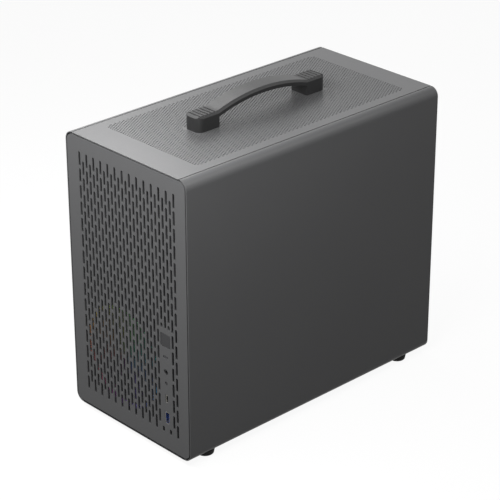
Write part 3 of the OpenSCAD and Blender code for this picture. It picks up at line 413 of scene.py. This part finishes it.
plate = bmesh.new()
bmesh.ops.create_cube(plate, size=1)
plate_size = top_high - top_low - Vector((2 * plate_play, 0, 0))
bmesh.ops.scale(plate, vec=plate_size, verts=plate.verts)
bmesh.ops.translate(plate, vec=(top_low + top_high) / 2, verts=plate.verts)
break_edges(plate, plate_edge, 1, chosen=lambda place: place.z > top_high.z - 0.0001)
top = make("perforated_top", plate, shell_coat, "shell_paint", "chassis", "top_panel")

punch = bmesh.new()


def punch_tool(radius, sides):
    """One round punch, standing in the plate at the middle of the top"""
    pin = bmesh.new()
    bmesh.ops.create_cone(
        pin, cap_ends=True, segments=sides, radius1=radius, radius2=radius, depth=0.004,
        matrix=Matrix.Translation((0, 0, (top_low.z + top_high.z) / 2)),
    )
    tool = bpy.data.meshes.new("punch")
    pin.to_mesh(tool)
    pin.free()
    return tool


def punch_hole(tool, x, y):
    tool.transform(Matrix.Translation((x, y, 0)))
    punch.from_mesh(tool)
    tool.transform(Matrix.Translation((-x, -y, 0)))


small_punch, screw_punch = punch_tool(hole_r, 8), punch_tool(handle_screw_hole_r, 16)

field_y = (field_back - field_front) / 2
row_pitch = hole_pitch * math.sin(math.pi / 3)
rows, columns = int(field_y / row_pitch) + 1, int(field_x / hole_pitch) + 1
for row in range(-rows, rows + 1):
    y = row * row_pitch
    for column in range(-columns, columns + 1):
        x = (column + row % 2 / 2) * hole_pitch
        past_x = max(abs(x) - field_x + field_corner, 0)
        past_y = max(abs(y) - field_y + field_corner, 0)
        place_y = y + (field_front + field_back) / 2
        under_leg = abs(x) < leg_half_w and abs(abs(place_y) - leg_middle) < leg_half_l
        if math.hypot(past_x, past_y) < field_corner and not under_leg:
            punch_hole(small_punch, x, place_y)
for x in (-handle_screw_x, handle_screw_x):
    for y in (-leg_middle, leg_middle):
        punch_hole(screw_punch, x, y)

punches = bpy.data.objects.new("punches", bpy.data.meshes.new("punches"))
punch.to_mesh(punches.data)
punch.free()
bpy.context.collection.objects.link(punches)
punching = top.modifiers.new("punching", "BOOLEAN")
punching.operation, punching.solver, punching.object = "DIFFERENCE", "MANIFOLD", punches
punched = bpy.data.meshes.new_from_object(
    top.evaluated_get(bpy.context.evaluated_depsgraph_get())
)
top.modifiers.clear()
top.data = punched
bpy.data.objects.remove(punches)

# The front is a folded steel tray that snaps on from the front, punched with rows of upright
# slots. It is drawn in a little all round, so that the dark seam about its face stays open.

front_low, front_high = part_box("front_panel")
front = joined("front_panel")
fold_play = 0.0004
drawn_in_x, _, drawn_in_z = (1 - 2 * fold_play / size for size in front_high - front_low)
bmesh.ops.scale(
    front, verts=front.verts, space=Matrix.Translation(-(front_low + front_high) / 2),
    vec=(drawn_in_x, 1, drawn_in_z),
)
make("slotted_front", front, shell_coat, "shell_paint", "front_panel", "front_panel")

# Two dust filters: a black moulded grid behind the front face and another in the runners under
# the base, each with fine black nylon mesh welded across its openings.

filter_frame = moulding("filter frame", (0.0045, 0.0045, 0.0047), 0.6, 0.00002)
dress(filter_frame, "front_filter", "bottom_filter")
thread_pitch, thread_share, sheet_t = 0.0011, 0.52, 0.0002


def nylon_mesh(name, across, up):
    """Woven threads along two of the place's coordinates, open between them"""
    nylon = Finish(name, Roughness=0.65, Specular_IOR_Level=0.15)
    places = nylon.along()
    lines = []
    for direction in (across, up):
        count = places[direction] / thread_pitch
        lines.append(count.math("FRACT", count).over(1 - thread_share, 0.08))
    nylon.set(
        Base_Color=nylon.mix(nylon.noise(0.02), (0.003, 0.003, 0.0032), (0.006, 0.006, 0.0062)),
        Alpha=lines[0].larger(lines[1]),
    )
    return nylon


def mesh_sheet(name, node, body, rim, flat, finish):
    """A thin sheet in the middle of a filter's frame, flat across one direction"""
    low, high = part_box(node)
    size, middle = high - low, (low + high) / 2
    size[flat] = sheet_t
    for direction in range(3):
        if direction != flat:
            size[direction] -= 2 * rim
    sheet = bmesh.new()
    bmesh.ops.create_cube(sheet, size=1)
    bmesh.ops.scale(sheet, vec=size, verts=sheet.verts)
    bmesh.ops.translate(sheet, vec=middle, verts=sheet.verts)
    return make(name, sheet, finish, "black_plastic", body)


front_nylon = nylon_mesh("front nylon mesh", 0, 2)
mesh_sheet("front_filter_mesh", "front_filter", "front_panel", 0.003, 1, front_nylon)
bottom_nylon = nylon_mesh("bottom nylon mesh", 0, 1)
mesh_sheet("bottom_filter_mesh", "bottom_filter", "bottom_filter", 0.010, 2, bottom_nylon)

# The square power button, painted plastic on a stem that reaches its switch behind the front,
# and the smoked bar of the status light above the headset jack.

button_coat = powder_coat("button paint", (0.058, 0.058, 0.060), 0.40, 0.00002)
power = joined("power_button")
button_edge, button_face = 0.0004, front_low.y + 0.0006
break_edges(power, button_edge, chosen=lambda place: place.y < button_face)
make("square_power_button", power, button_coat, "button_paint", "power_button", "power_button")

smoked = Finish("smoked light bar", Roughness=0.22)
smoked.set(
    Base_Color=smoked.mix(smoked.noise(0.002), (0.030, 0.031, 0.033), (0.042, 0.043, 0.046)),
)
dress(smoked, "status_light")

# The carrying handle is one black moulding held by four screws from inside: two legs with grip
# grooves, joined by an arched strap. The strap is polished a little by hands.

grip = Finish("soft-touch grip", Specular_IOR_Level=0.5)
grip_low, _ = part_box("handle")
strap_foot, grip_edge = 0.0178, 0.0006
strap = grip.along()[2].over(grip_low.z + strap_foot, 0.0012)
grain, smears = grip.noise(0.0004, 3, 0.6), grip.noise(0.018, 3)
grip.set(
    Base_Color=grip.mix(smears, (0.0075, 0.0075, 0.0078), (0.011, 0.011, 0.0114)),
    Roughness=grain * 0.10 + smears * 0.10 + 0.46 - strap * 0.12,
)
grip.bump(grain, 0.00003)
arch = joined("handle")
break_edges(arch, grip_edge, 3, chosen=lambda place: place.z > grip_low.z + 0.0005)
make("carrying_handle", arch, grip, "grip_plastic", "chassis", "handle")

# Four round feet of the same black rubber as the grommets, each pulled against the base by one
# screw in its pocket.

foot_edge = 0.0006
for corner in ("front_left", "front_right", "rear_left", "rear_right"):
    foot = joined(f"foot_{corner}")
    break_edges(foot, foot_edge, 3)
    make(f"rubber_foot_{corner}", foot, rubber, "rubber", "chassis", f"foot_{corner}")

# The studio: a pale seamless floor that runs to white, and soft lamps that never face the camera.
# A strip over the front lights it from above, and a low box at the back left shows as sheen on
# the top alone. The floor is dimmer in the coat's sheen than straight on.

floor_bm = bmesh.new()
floor_reach = 12.0
bmesh.ops.create_grid(floor_bm, x_segments=1, y_segments=1, size=floor_reach)
floor = bpy.data.objects.new("studio_floor", bpy.data.meshes.new("studio_floor"))
floor_bm.to_mesh(floor.data)
floor_bm.free()
bpy.context.collection.objects.link(floor)

floor_grey, floor_lift, floor_in_sheen = 0.08, 0.93, 0.5
floor_finish = Finish("studio floor", Roughness=0.9, Specular_IOR_Level=0.1)
floor_finish.set(Base_Color=(floor_grey, floor_grey, floor_grey))
direct_view = floor_finish.node("ShaderNodeLightPath", out="Is Camera Ray")
glossy_view = floor_finish.node("ShaderNodeLightPath", out="Is Glossy Ray")
through_view = floor_finish.node("ShaderNodeLightPath", out="Is Transmission Ray")
seen = direct_view.larger(through_view).larger(glossy_view * floor_in_sheen)
lift = floor_finish.node("ShaderNodeEmission", {}, {"Color": (1, 1, 1), "Strength": floor_lift})
plain = Value(floor_finish, floor_finish.shader.outputs[0])
lifted = floor_finish.node("ShaderNodeAddShader", {}, {0: plain, 1: lift})
floor_look = floor_finish.node("ShaderNodeMixShader", {}, {0: seen, 1: plain, 2: lifted})
floor_finish.tree.links.new(
    floor_look.socket, floor_finish.tree.nodes["Material Output"].inputs["Surface"]
)
floor.data.materials.append(floor_finish.material)


def lamp(name, place, aim, size, power):
    light = bpy.data.lights.new(name, "AREA")
    light.shape, light.size, light.size_y, light.energy = "RECTANGLE", *size, power
    made = bpy.data.objects.new(name, light)
    made.location = place
    made.visible_camera = False
    made.rotation_euler = (Vector(aim) - Vector(place)).to_track_quat("-Z", "Y").to_euler()
    bpy.context.collection.objects.link(made)


middle = Vector((0, 0, 0.17))
lamp("front_strip", (0.0, -0.5, 0.70), middle, (0.9, 0.2), 5.7)
lamp("front_corner_softbox", (0.28, -0.40, 0.62), middle, (0.25, 0.2), 0.9)
lamp("right_strip", (0.42, 0.0, 0.70), middle, (1.2, 0.2), 1.35)
lamp("left_strip", (-0.45, -0.1, 0.75), middle, (1.0, 0.3), 3.9)
lamp("back_softbox", (-0.85, 0.80, 0.75), middle, (0.9, 0.6), 0.25)

world = bpy.data.worlds.new("studio")
bpy.context.scene.world = world
world.use_nodes = True
background = world.node_tree.nodes["Background"]
rays = world.node_tree.nodes.new("ShaderNodeLightPath")


def world_math(operation, a, b):
    node = world.node_tree.nodes.new("ShaderNodeMath")
    node.operation = operation
    for socket, value in zip(node.inputs, (a, b)):
        if isinstance(value, float):
            socket.default_value = value
        else:
            world.node_tree.links.new(value, socket)
    return node.outputs[0]


direct = world_math(
    "MAXIMUM", rays.outputs["Is Camera Ray"],
    world_math("MAXIMUM", rays.outputs["Is Glossy Ray"], rays.outputs["Is Transmission Ray"]),
)
ambient = 0.06
strength = world_math("ADD", world_math("MULTIPLY", direct, 1.0 - ambient), ambient)
world.node_tree.links.new(strength, background.inputs["Strength"])
background.inputs["Color"].default_value = (1, 1, 1, 1)

bpy.context.scene.view_settings.view_transform = "Standard"
